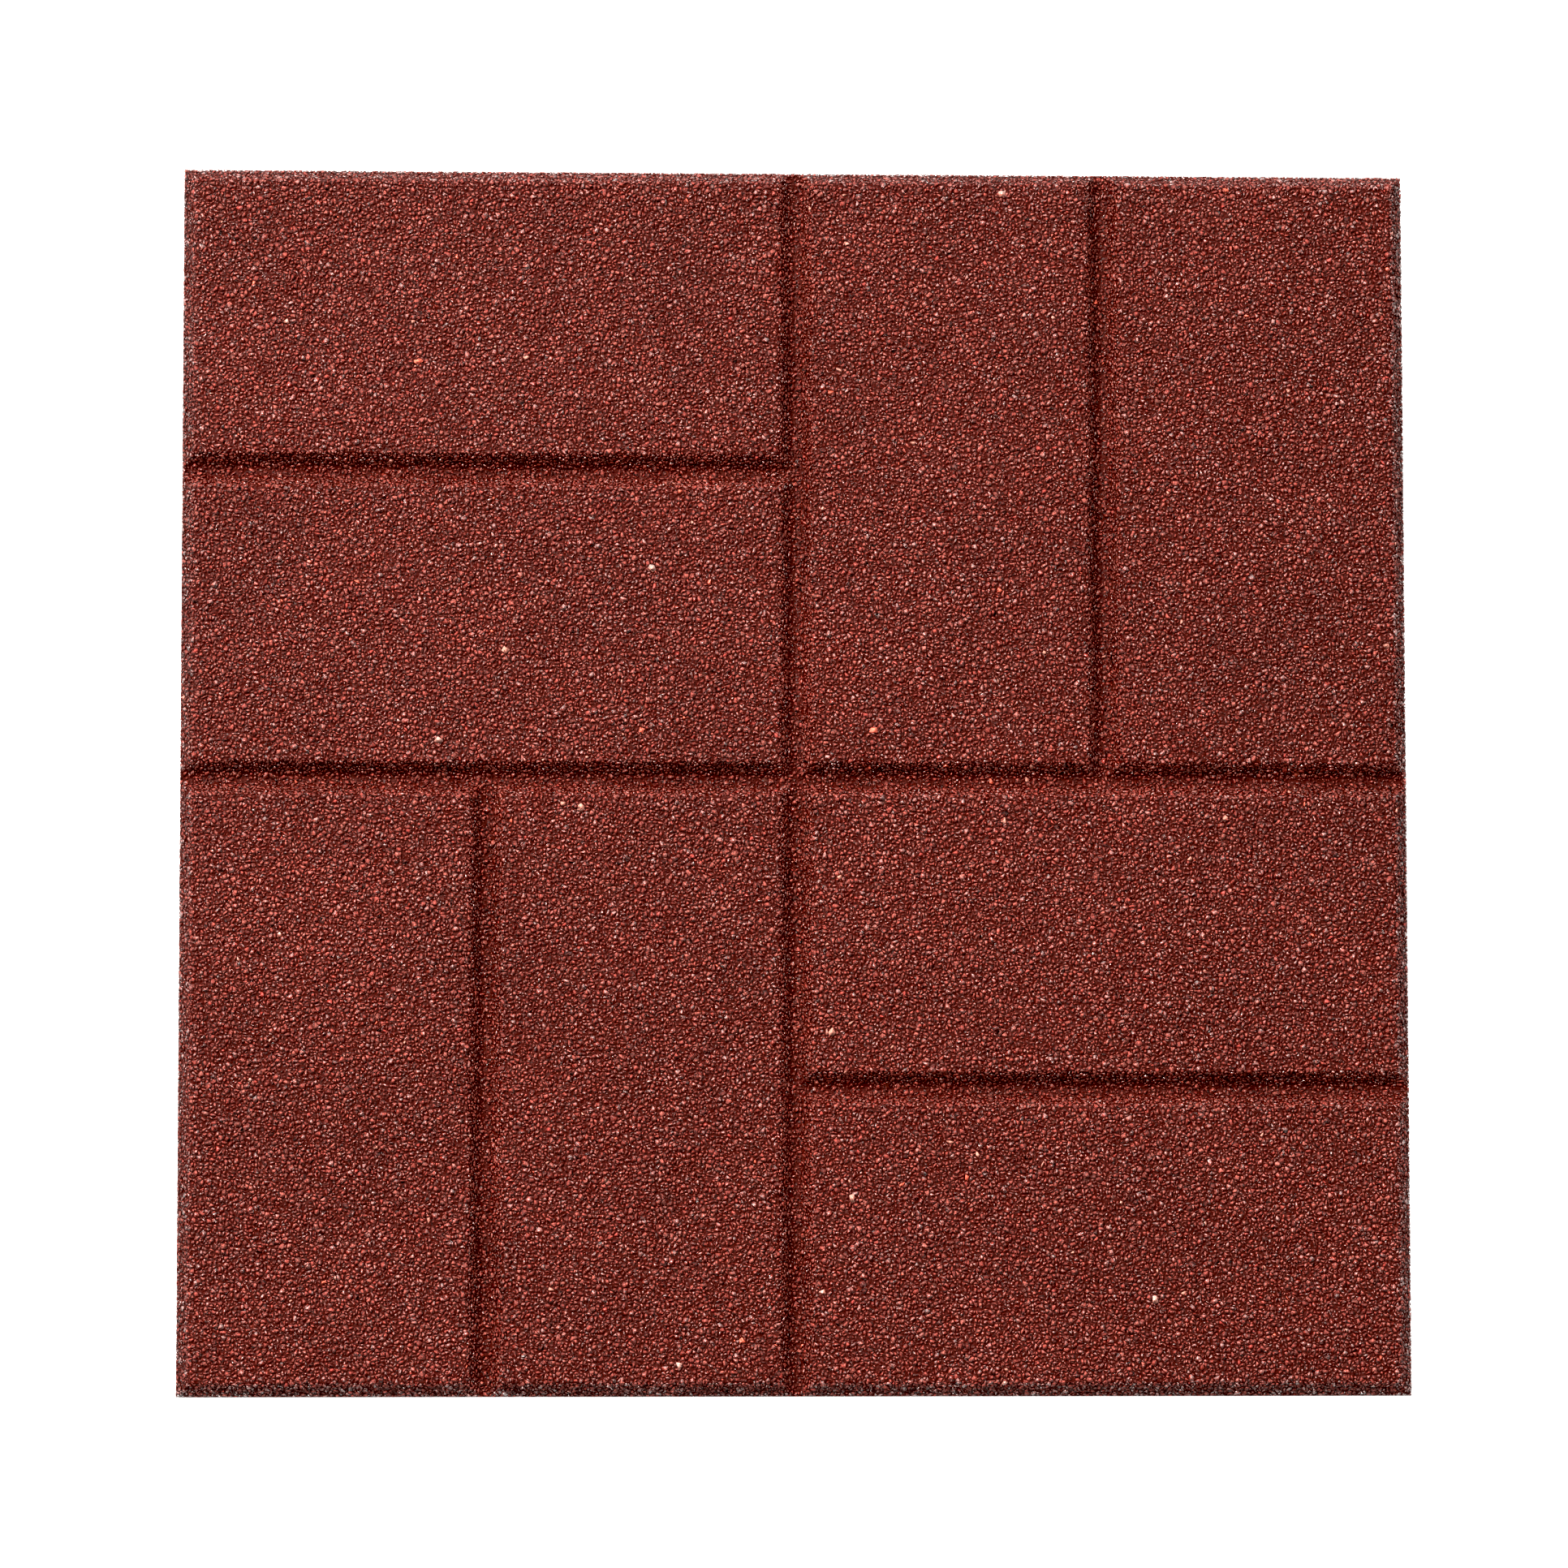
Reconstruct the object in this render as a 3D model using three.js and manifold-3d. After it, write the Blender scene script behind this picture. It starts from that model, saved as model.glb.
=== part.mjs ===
// A square rubber paver, pressed in one piece from bound crumb, with a basket-weave brick face.
// Millimetres, +Z up. The origin is the middle of the underside, which lies flat on the floor.
// The bricks of a pair lie side by side, and each pair is turned a quarter turn from the pairs next to it.

import * as THREE from 'three';
import { mergeVertices } from 'three/addons/utils/BufferGeometryUtils.js';
import Module from 'manifold-3d';

// Brick faces, which are all alike, measured between the sharp edges that they would have
const brickWidth = 91.4;
const bricksInPair = 2;
const pairsAcross = 2;
const thickness = 19.05;

// Joints between the bricks, and the bevel round the paver, which is cut to the same depth
const jointWidth = 10.8; // across the opening, from brick face to brick face
const jointDepth = 6;
const wallRun = 3.8; // how far a joint's wall leans over its depth
const edgeBevelRun = 4.2; // the same for the bevel round the paver

// Edges
const arrisRadius = 1.2; // round the top of every brick
const arrisSteps = 4;
const hollowSteps = 8; // round the bottom of a joint
const footEase = 0.8; // a small bevel round the underside

const brickLength = bricksInPair * brickWidth + (bricksInPair - 1) * jointWidth;
const pairPitch = brickLength + jointWidth;
const brickPitch = brickWidth + jointWidth;
const side = pairsAcross * brickLength + (pairsAcross - 1) * jointWidth + 2 * edgeBevelRun;
const jointFloor = thickness - jointDepth;
const cutPast = jointWidth; // how far a cut runs on past the paver, so that it leaves no skin

const wasm = await Module();
wasm.setup();

function solidFrom(geometry) {
  geometry.deleteAttribute('normal');
  geometry.deleteAttribute('uv');
  const merged = mergeVertices(geometry);
  const mesh = new wasm.Mesh({
    numProp: 3,
    vertProperties: new Float32Array(merged.attributes.position.array),
    triVerts: new Uint32Array(merged.index.array),
  });
  return new wasm.Manifold(mesh);
}

function geometryFrom(solid) {
  const mesh = solid.getMesh();
  const geometry = new THREE.BufferGeometry();
  geometry.setAttribute('position', new THREE.BufferAttribute(mesh.vertProperties, 3));
  geometry.setIndex(new THREE.BufferAttribute(mesh.triVerts, 1));
  geometry.computeVertexNormals();
  return geometry;
}

// The rounded top edge of a leaning wall, as points from the wall up to the flat face.
// sharpEdge is where wall and face would meet; faceward is +1 where the face lies on the +X side of it.
function arris(sharpEdge, faceward, run) {
  const lean = Math.atan2(jointDepth, run);
  const tangent = arrisRadius * Math.tan(lean / 2);
  const centreX = sharpEdge + faceward * tangent;
  const centreZ = thickness - arrisRadius;
  const points = [];
  for (let step = 0; step <= arrisSteps; step += 1) {
    const angle = lean * (1 - step / arrisSteps);
    const x = centreX - faceward * arrisRadius * Math.sin(angle);
    const z = centreZ + arrisRadius * Math.cos(angle);
    points.push(new THREE.Vector2(x, z));
  }
  return points;
}

// The paver's section from side to side: flat underside, upright edge, bevel and flat face
function paverSection() {
  const half = side / 2;
  const face = half - edgeBevelRun;
  return new THREE.Shape([
    new THREE.Vector2(-half + footEase, 0),
    new THREE.Vector2(half - footEase, 0),
    new THREE.Vector2(half, footEase),
    new THREE.Vector2(half, jointFloor),
    ...arris(face, -1, edgeBevelRun),
    ...arris(-face, 1, edgeBevelRun).reverse(),
    new THREE.Vector2(-half, jointFloor),
    new THREE.Vector2(-half, footEase),
  ]);
}

// The round bottom of a joint, as points from its left wall to its right wall
function jointHollow() {
  const lean = Math.atan2(jointDepth, wallRun);
  const flatHalf = jointWidth / 2 - wallRun; // half of what a flat bottom would be
  const radius = flatHalf / Math.tan(lean / 2);
  const points = [];
  for (let step = 0; step <= hollowSteps; step += 1) {
    const angle = lean * ((2 * step) / hollowSteps - 1);
    points.push(new THREE.Vector2(radius * Math.sin(angle), jointFloor + radius * (1 - Math.cos(angle))));
  }
  return points;
}

// The section of what is pressed out at a joint, from its bottom to above the faces
function jointSection() {
  const opening = jointWidth / 2;
  const right = arris(opening, 1, wallRun);
  const left = arris(-opening, -1, wallRun);
  const above = thickness + cutPast;
  return new THREE.Shape([
    ...jointHollow(),
    ...right,
    new THREE.Vector2(right[arrisSteps].x, above),
    new THREE.Vector2(left[arrisSteps].x, above),
    ...left.reverse(),
  ]);
}

// A section drawn in X and Z, run along Y from one place to another
function runAlongY(section, from, to) {
  const geometry = new THREE.ExtrudeGeometry(section, { depth: to - from, bevelEnabled: false });
  geometry.rotateX(Math.PI / 2);
  geometry.translate(0, to, 0);
  return geometry;
}

// The same run along X, by a quarter turn
function runAlongX(section, from, to) {
  return runAlongY(section, -to, -from).rotateZ(Math.PI / 2);
}

function blankPaver() {
  const section = paverSection();
  const lengthwise = solidFrom(runAlongY(section, -side / 2, side / 2));
  const crosswise = solidFrom(runAlongX(section, -side / 2, side / 2));
  return lengthwise.intersect(crosswise);
}

// The middle of the joint before a pair; before the first pair it is where that joint would be
function jointBefore(pair) {
  return pair * pairPitch - jointWidth / 2 + edgeBevelRun - side / 2;
}

// The joints between the pairs run right across the paver, both ways
function jointsBetweenPairs(section) {
  const reach = side / 2 + cutPast;
  const cuts = [];
  for (let line = 1; line < pairsAcross; line += 1) {
    const place = jointBefore(line);
    cuts.push(solidFrom(runAlongY(section, -reach, reach).translate(place, 0, 0)));
    cuts.push(solidFrom(runAlongX(section, -reach, reach).translate(0, place, 0)));
  }
  return cuts;
}

// How far a pair's own joint runs: to the middle of the next joint, or out past the paver's edge
function jointEnds(pair) {
  const first = pair === 0;
  const last = pair === pairsAcross - 1;
  const from = jointBefore(pair) - (first ? cutPast : 0);
  const to = jointBefore(pair + 1) + (last ? cutPast : 0);
  return [from, to];
}

// The joints inside each pair, which lie along X in every other pair and along Y in the rest
function jointsInsidePairs(section) {
  const cuts = [];
  for (let column = 0; column < pairsAcross; column += 1) {
    for (let row = 0; row < pairsAcross; row += 1) {
      const alongX = (column + row) % 2 === 1;
      const [from, to] = jointEnds(alongX ? column : row);
      const start = jointBefore(alongX ? row : column);
      for (let brick = 1; brick < bricksInPair; brick += 1) {
        const place = start + brick * brickPitch;
        const cut = alongX
          ? runAlongX(section, from, to).translate(0, place, 0)
          : runAlongY(section, from, to).translate(place, 0, 0);
        cuts.push(solidFrom(cut));
      }
    }
  }
  return cuts;
}

function pressedPaver() {
  const section = jointSection();
  let solid = blankPaver();
  for (const cut of [...jointsBetweenPairs(section), ...jointsInsidePairs(section)]) {
    solid = solid.subtract(cut);
  }
  return geometryFrom(solid);
}

const crumbRubber = new THREE.MeshStandardMaterial({ color: 0x6d4742, roughness: 0.9, metalness: 0 });

const paver = new THREE.Mesh(pressedPaver(), crumbRubber);
paver.name = 'paver';

const model = new THREE.Group();
model.add(paver);

export default model;
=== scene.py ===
import math

import bmesh
import bpy
import numpy as np
from bpy.props import FloatProperty, FloatVectorProperty, IntProperty, PointerProperty
from mathutils import Euler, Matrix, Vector


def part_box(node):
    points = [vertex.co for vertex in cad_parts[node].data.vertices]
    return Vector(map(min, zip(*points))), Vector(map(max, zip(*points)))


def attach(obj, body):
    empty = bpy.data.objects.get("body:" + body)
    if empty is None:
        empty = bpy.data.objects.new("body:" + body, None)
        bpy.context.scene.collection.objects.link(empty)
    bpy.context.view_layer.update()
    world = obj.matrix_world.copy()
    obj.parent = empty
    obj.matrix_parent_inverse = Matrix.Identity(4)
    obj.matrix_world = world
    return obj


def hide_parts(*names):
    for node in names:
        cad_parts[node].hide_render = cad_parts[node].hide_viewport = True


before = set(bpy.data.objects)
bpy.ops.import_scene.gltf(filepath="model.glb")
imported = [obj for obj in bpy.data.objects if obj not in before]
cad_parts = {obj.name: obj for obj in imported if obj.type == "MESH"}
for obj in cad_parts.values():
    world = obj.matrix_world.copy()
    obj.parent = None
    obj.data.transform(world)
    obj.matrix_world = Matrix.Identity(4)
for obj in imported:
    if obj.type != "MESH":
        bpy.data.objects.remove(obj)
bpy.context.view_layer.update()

bl_info = {
    "name": "Crumb Rubber Paver",
    "version": (1, 0, 0),
    "blender": (4, 5, 0),
    "location": "3D View > Sidebar > Paver",
    "description": "Dresses a basket-weave rubber paver in pressed rubber crumb",
    "category": "Object",
}

BODY = "root"
PAVER = "paver"
MM = 0.001
CLOSE = 0.1 * MM  # two lengths this alike are taken as one
NEAR = 1e-5  # and this alike where they should be the same
ALIKE = 0.999  # cosine above which two faces look the same way
DOWNWARD = -0.99  # upward part of a normal that points down
UPRIGHT = 0.01  # most of it in an upright face

# A brick's sides
ARC_STEPS = 7
EDGE_SHADE_OVER = 2 * MM  # depth below the face at which the painted shade on the outline's crumbs is full
PACKED_ABOVE = 1.5 * MM  # height above the joints' bottom up to which the outline is packed closer

# Crumb places and their room
PAST_BORDER = 2  # rows past a border that still count as neighbours
ROW_SPACING = math.sqrt(0.75)  # distance of the rows as a share of the pitch
ROW_SHIFT = 0.25  # how far every other row is shifted, to either side
STRENGTH_POWER = 3  # makes strong crumbs rare
LEAST_FACING = 0.05  # cosine below which a neighbour doesn't bound a direction
NEAREST = 5  # neighbours that a crumb's size is told from

# Build of a crumb, in shares of the pitch, of its sector or of its own size
FEWEST_CORNERS = 3
RING_SHARES = (0.30, 0.78)  # shares of the crumbs with the fewest corners, and with at most one more
TRIES = 5
SECTOR_HALF = 0.38
SPREADS = (0.18, 1.3)
SLIMNESS = (0.32, 1.2)
ROUGHNESS = 0.15
ROOT_STRAY = 0.3
ROOT_DEPTHS = (1.3, 1.9)
MAP_RADIUS = 0.42

# Crumbs that stand out
BIG = 0.9  # share of the crumbs that are smaller
CALM, FULL = 0.2, 0.8  # their lean and roughness against other crumbs', and their slimness
ALL_ORANGE, ALL_BLUSH = 1.0, 0.0  # draws that are past every share of orange or pale crumbs


def frame_side():
    """The paver's side, from the frame."""
    low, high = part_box(PAVER)
    return high.x - low.x


def frame_thickness():
    """The paver's thickness, from the frame."""
    low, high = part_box(PAVER)
    return high.z - low.z


def frame_joint_floor():
    """The height of the joints' bottom, where the edge bevel starts on the paver's side."""
    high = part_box(PAVER)[1]
    rim = [v.co.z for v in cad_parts[PAVER].data.vertices if high.x - v.co.x < NEAR]
    return max(rim)


class PaverForm(bpy.types.PropertyGroup):
    """The pressed form that the crumbs fill, as the CAD model has it"""

    brick_width: FloatProperty(
        name="Brick width",
        description="Width of a brick face between its sharp edges",
        default=91.4 * MM, subtype="DISTANCE", unit="LENGTH")
    joint_width: FloatProperty(
        name="Joint width",
        description="Opening between two brick faces",
        default=10.8 * MM, subtype="DISTANCE", unit="LENGTH")
    wall_run: FloatProperty(
        name="Wall run",
        description="How far a joint's wall leans over its depth",
        default=3.8 * MM, subtype="DISTANCE", unit="LENGTH")
    bevel_run: FloatProperty(
        name="Edge bevel run",
        description="How far the bevel round the paver leans over its depth",
        default=4.2 * MM, subtype="DISTANCE", unit="LENGTH")
    arris_radius: FloatProperty(
        name="Arris radius",
        description="Rounding round the top of every brick",
        default=1.2 * MM, subtype="DISTANCE", unit="LENGTH")
    foot_ease: FloatProperty(
        name="Foot ease",
        description="The small bevel round the underside",
        default=0.8 * MM, subtype="DISTANCE", unit="LENGTH")
    side: FloatProperty(
        name="Side",
        description="Side of the paver",
        default=frame_side(), subtype="DISTANCE", unit="LENGTH")
    thickness: FloatProperty(
        name="Thickness",
        description="Thickness of the paver",
        default=frame_thickness(), subtype="DISTANCE", unit="LENGTH")
    joint_floor: FloatProperty(
        name="Joint floor",
        description="Height of the joints' bottom above the underside",
        default=frame_joint_floor(), subtype="DISTANCE", unit="LENGTH")


class CrumbGrading(bpy.types.PropertyGroup):
    """Size, shape and packing of the rubber crumbs"""

    pitch: FloatProperty(
        name="Pitch",
        description="Distance between neighbouring crumbs",
        default=1.19 * MM, subtype="DISTANCE", unit="LENGTH")
    jitter: FloatProperty(
        name="Jitter",
        description="How far crumbs stray from even rows, as a share of the pitch",
        default=0.60, min=0.0, max=0.8)
    rivalry: FloatProperty(
        name="Rivalry",
        description="How much room big crumbs take from small ones, as a share of the pitch",
        default=1.0, min=0.0, max=1.5)
    gap: FloatProperty(
        name="Gap",
        description="Width of the dark line left between neighbouring crumbs",
        default=0.155 * MM, subtype="DISTANCE", unit="LENGTH")
    flatness: FloatProperty(
        name="Flatness",
        description="Height of a crumb as a share of its length",
        default=0.55, min=0.2, max=1.0)
    tilt: FloatProperty(
        name="Tilt",
        description="How far crumbs lean out of the pressed face",
        default=math.radians(17), subtype="ANGLE", unit="ROTATION")
    sink: FloatProperty(
        name="Sink",
        description="How far the lowest crumb tops lie below the mould's face",
        default=0.34 * MM, subtype="DISTANCE", unit="LENGTH")
    press: FloatProperty(
        name="Press",
        description="How far a crumb is flattened against the mould at most",
        default=0.14 * MM, subtype="DISTANCE", unit="LENGTH")
    striking: FloatProperty(
        name="Striking crumbs",
        description="How many crumbs of a brick stand out by size and colour, on average",
        default=1.5, min=0.0)
    striking_orange: FloatProperty(
        name="Striking orange",
        description="Share of orange ones among the crumbs that stand out; the rest are pale",
        default=0.4, min=0.0, max=1.0)
    striking_spread: FloatProperty(
        name="Striking spread",
        description="How far the crumbs that stand out spread, as a share of their own room",
        default=1.7, min=1.0, max=2.5)
    edge_press: FloatProperty(
        name="Edge press",
        description="The press round the paver's outline, where the mould packs the crumb closer",
        default=0.45 * MM, subtype="DISTANCE", unit="LENGTH")
    bed_depth: FloatProperty(
        name="Bed depth",
        description="How far the binder bed lies below the mould's face",
        default=0.85 * MM, subtype="DISTANCE", unit="LENGTH")
    edge_bed_depth: FloatProperty(
        name="Edge bed depth",
        description="How far the binder bed lies inside the paver's upright sides",
        default=0.3 * MM, subtype="DISTANCE", unit="LENGTH")
    seed: IntProperty(
        name="Seed",
        description="Start of the random draws",
        default=7)


class CrumbColours(bpy.types.PropertyGroup):
    """Colours of the pigmented crumb, and of the binder, which also serves as painted shade"""

    deep: FloatVectorProperty(
        name="Deep red",
        description="The darkest common crumbs",
        default=(0.175, 0.0175, 0.0105), subtype="COLOR", size=3, min=0, max=1)
    red: FloatVectorProperty(
        name="Brick red",
        description="Middling crumbs",
        default=(0.275, 0.037, 0.025), subtype="COLOR", size=3, min=0, max=1)
    pale: FloatVectorProperty(
        name="Pale red",
        description="The palest common crumbs",
        default=(0.315, 0.070, 0.051), subtype="COLOR", size=3, min=0, max=1)
    orange: FloatVectorProperty(
        name="Orange",
        description="Rare bright crumbs",
        default=(0.85, 0.13, 0.075), subtype="COLOR", size=3, min=0, max=1)
    vivid: FloatVectorProperty(
        name="Vivid red",
        description="Crumbs with fresh pigment",
        default=(0.33, 0.034, 0.024), subtype="COLOR", size=3, min=0, max=1)
    blush: FloatVectorProperty(
        name="Blush",
        description="Rare crumbs that took little pigment",
        default=(0.58, 0.21, 0.155), subtype="COLOR", size=3, min=0, max=1)
    # The binder colour is the bed's own dark colour and also the painted shade of the gaps, crevices and
    # cracks between the crumbs; it is set this dark to stand for that shade.
    binder: FloatVectorProperty(
        name="Binder",
        description="The dark bed between the crumbs",
        default=(0.018, 0.0010, 0.0005), subtype="COLOR", size=3, min=0, max=1)


class PaverStudio(bpy.types.PropertyGroup):
    """Camera, floor and light"""

    camera_place: FloatVectorProperty(
        name="Camera place",
        description="Where the camera hangs above the paver",
        default=(-0.09532, -0.18142, 2.12053), subtype="TRANSLATION", unit="LENGTH", size=3)
    camera_turn: FloatVectorProperty(
        name="Camera turn",
        description="The camera's rotation from looking straight down",
        default=tuple(math.radians(a) for a in (4.8823, -2.4805, -0.0545)), subtype="EULER", size=3)
    lens: FloatProperty(
        name="Lens",
        description="Focal length in millimetres on a 36 mm sensor",
        default=146.85)
    key_azimuth: FloatProperty(
        name="Key azimuth",
        description="Direction of the softbox, turned left from the paver's +Y side",
        default=math.radians(50), subtype="ANGLE", unit="ROTATION")
    key_height: FloatProperty(
        name="Key height",
        description="Angle of the softbox above the floor",
        default=math.radians(50), subtype="ANGLE", unit="ROTATION")
    key_distance: FloatProperty(
        name="Key distance",
        description="Distance of the softbox",
        default=2.0, subtype="DISTANCE", unit="LENGTH")
    key_size: FloatProperty(
        name="Key size",
        description="Side of the square softbox that makes the glints",
        default=0.55, subtype="DISTANCE", unit="LENGTH")
    key_power: FloatProperty(
        name="Key power",
        description="Power of the softbox in watts",
        default=83.0)
    room_azimuth: FloatProperty(
        name="Room azimuth",
        description="Direction of the room's bright side, turned left from the paver's +Y side",
        default=math.radians(8), subtype="ANGLE", unit="ROTATION")
    room_height: FloatProperty(
        name="Room height",
        description="Angle of the room's brightest place above the floor",
        default=math.radians(13), subtype="ANGLE", unit="ROTATION")
    room_focus: FloatProperty(
        name="Room focus",
        description="How fast the room's light falls off away from its bright side",
        default=1.55)
    light_colour: FloatVectorProperty(
        name="Light colour",
        description="Colour of the softbox and of the room's light",
        default=(1.0, 0.965, 0.92), subtype="COLOR", size=3, min=0, max=1)
    room_light: FloatProperty(
        name="Room light",
        description="Strength of the room's light on its bright side",
        default=5.7)
    floor_colour: FloatVectorProperty(
        name="Floor",
        description="Colour of the studio floor",
        default=(0.6, 0.6, 0.6), subtype="COLOR", size=3, min=0, max=1)
    floor_glow: FloatProperty(
        name="Floor glow",
        description="Light that comes up through the white floor towards the camera",
        default=0.8)
    black_level: FloatProperty(
        name="Black level",
        description="Light below this level comes out black",
        default=0.008)
    floor_size: FloatProperty(
        name="Floor size",
        description="Side of the studio floor",
        default=12.0, subtype="DISTANCE", unit="LENGTH")


def form():
    """The paver's form, as the sidebar has it."""
    return bpy.context.scene.paver_form


def grading():
    """The crumbs' size and packing, as the sidebar has them."""
    return bpy.context.scene.crumb_grading


def colours():
    """The crumbs' colours, as the sidebar has them."""
    return bpy.context.scene.crumb_colours


def studio():
    """Camera, floor and light, as the sidebar has them."""
    return bpy.context.scene.paver_studio


def brick_rectangles():
    """(x low, x high, y low, y high) of each brick face, between its sharp edges."""
    f = form()
    length = 2 * f.brick_width + f.joint_width
    start = -f.side / 2 + f.bevel_run
    across = 2 * length + f.joint_width + 2 * f.bevel_run
    if abs(across - f.side) > CLOSE:
        raise RuntimeError(f"bricks, joints and bevels come to {across} m, not to the side of {f.side} m")
    found = []
    for column in range(2):
        for row in range(2):
            x = start + column * (length + f.joint_width)
            y = start + row * (length + f.joint_width)
            for brick in range(2):
                step = brick * (f.brick_width + f.joint_width)
                if (column + row) % 2:
                    found.append((x, x + length, y + step, y + step + f.brick_width))
                else:
                    found.append((x + step, x + step + f.brick_width, y, y + length))
    return found


class Plane:
    """A flat face of the mould: its normal points out of the rubber."""

    def __init__(self, point, normal):
        self.normal = np.array(normal, float) / np.linalg.norm(normal)
        self.offset = float(self.normal @ np.array(point, float))

    def press(self, points, who):
        """Pushes what stands out past the face back onto it."""
        over = points[who] @ self.normal - self.offset
        points[who] -= np.maximum(over, 0)[..., None] * self.normal


def arc(run, height, radius, start, end):
    """Points of an arc about a centre, between two angles off the upward direction."""
    angles = np.linspace(start, end, ARC_STEPS)
    return np.stack([run + radius * np.sin(angles), height + radius * np.cos(angles)], 1)


class BrickSide:
    """How a brick falls away from its sharp edge: runs outward and heights above the underside."""

    def __init__(self, on_outline):
        f = form()
        top, floor = f.thickness, f.joint_floor
        self.on_outline = on_outline
        self.run = f.bevel_run if on_outline else f.wall_run
        self.lean = math.atan2(top - floor, self.run)
        self.inset = f.arris_radius * math.tan(self.lean / 2)
        arris = arc(-self.inset, top - f.arris_radius, f.arris_radius, 0, self.lean)
        if on_outline:
            edge = f.bevel_run
            foot = np.array([(edge, floor), (edge, f.foot_ease), (edge - f.foot_ease, 0.0)])
        else:
            middle = f.joint_width / 2
            hollow = (middle - self.run) / math.tan(self.lean / 2)
            foot = arc(middle, floor + hollow, -hollow, self.lean, 0)
        self.foot_height = foot[0, 1]
        self.profile = np.concatenate([arris, foot])
        steps = np.linalg.norm(np.diff(self.profile, axis=0), axis=1)
        self.lengths = np.concatenate([[0.0], np.cumsum(steps)])

    def run_at(self, height):
        """How far out the side is at a height; below the joint's bottom, as far as it goes."""
        return np.interp(-height, -self.profile[:, 1], np.maximum.accumulate(self.profile[:, 0]))

    def place_at(self, length):
        """Run, height and outward slant at a length along the profile."""
        run = np.interp(length, self.lengths, self.profile[:, 0])
        height = np.interp(length, self.lengths, self.profile[:, 1])
        piece = np.clip(np.searchsorted(self.lengths, length) - 1, 0, len(self.profile) - 2)
        step = np.diff(self.profile, axis=0)[piece]
        step = step / np.linalg.norm(step, axis=1)[:, None]
        return run, height, np.stack([-step[:, 1], step[:, 0]], 1)


def folded(values, index, count, length):
    """Folds strayed places back over a border, so that the crumbs lie as close there as elsewhere."""
    inside = length - np.abs(length - np.abs(values))
    past = np.where(index < 0, -np.abs(values), length + np.abs(values - length))
    return np.where((index < 0) | (index >= count), past, inside)


class Cells:
    """Crumb places over a rectangle, on jittered staggered rows, and the room that each crumb has."""

    def __init__(self, length, width, draw):
        g = grading()
        rows = max(1, round(width / (g.pitch * ROW_SPACING)))
        places = max(1, round(length / g.pitch))
        row, place = np.meshgrid(np.arange(-PAST_BORDER, rows + PAST_BORDER),
                                 np.arange(-PAST_BORDER, places + PAST_BORDER), indexing="ij")
        a = (place + 0.5 + ROW_SHIFT * (-1.0) ** row) / places * length
        b = (row + 0.5) / rows * width
        a = folded(a + draw.uniform(-g.jitter, g.jitter, a.shape) * g.pitch, place, places, length)
        b = folded(b + draw.uniform(-g.jitter, g.jitter, b.shape) * g.pitch, row, rows, width)
        strength = draw.uniform(0, 1, a.shape) ** STRENGTH_POWER * (g.rivalry * g.pitch) ** 2
        inside = (slice(PAST_BORDER, -PAST_BORDER),) * 2
        self.a, self.b = a[inside].ravel(), b[inside].ravel()
        own = strength[inside]
        ways, reaches = [], []
        for up in range(2 * PAST_BORDER + 1):
            for over in range(2 * PAST_BORDER + 1):
                if up == over == PAST_BORDER:
                    continue
                window = (slice(up, up + rows), slice(over, over + places))
                da, db = a[window] - a[inside], b[window] - b[inside]
                apart = np.hypot(da, db) + NEAR * g.pitch
                ways.append(np.arctan2(db, da).ravel())
                reaches.append(((apart + (own - strength[window]) / apart) / 2).ravel())
        self.ways, self.reaches = np.array(ways), np.array(reaches)

    def keep(self, which):
        """Drops all places but some."""
        self.a, self.b = self.a[which], self.b[which]
        self.ways, self.reaches = self.ways[:, which], self.reaches[:, which]


def room(ways, reaches, angles):
    """How far crumbs can spread at the given angles before they meet their neighbours."""
    facing = np.cos(angles[None] - ways[..., None])
    free = np.where(facing > LEAST_FACING, reaches[..., None] / np.maximum(facing, LEAST_FACING), np.inf)
    return free.min(0)


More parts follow.
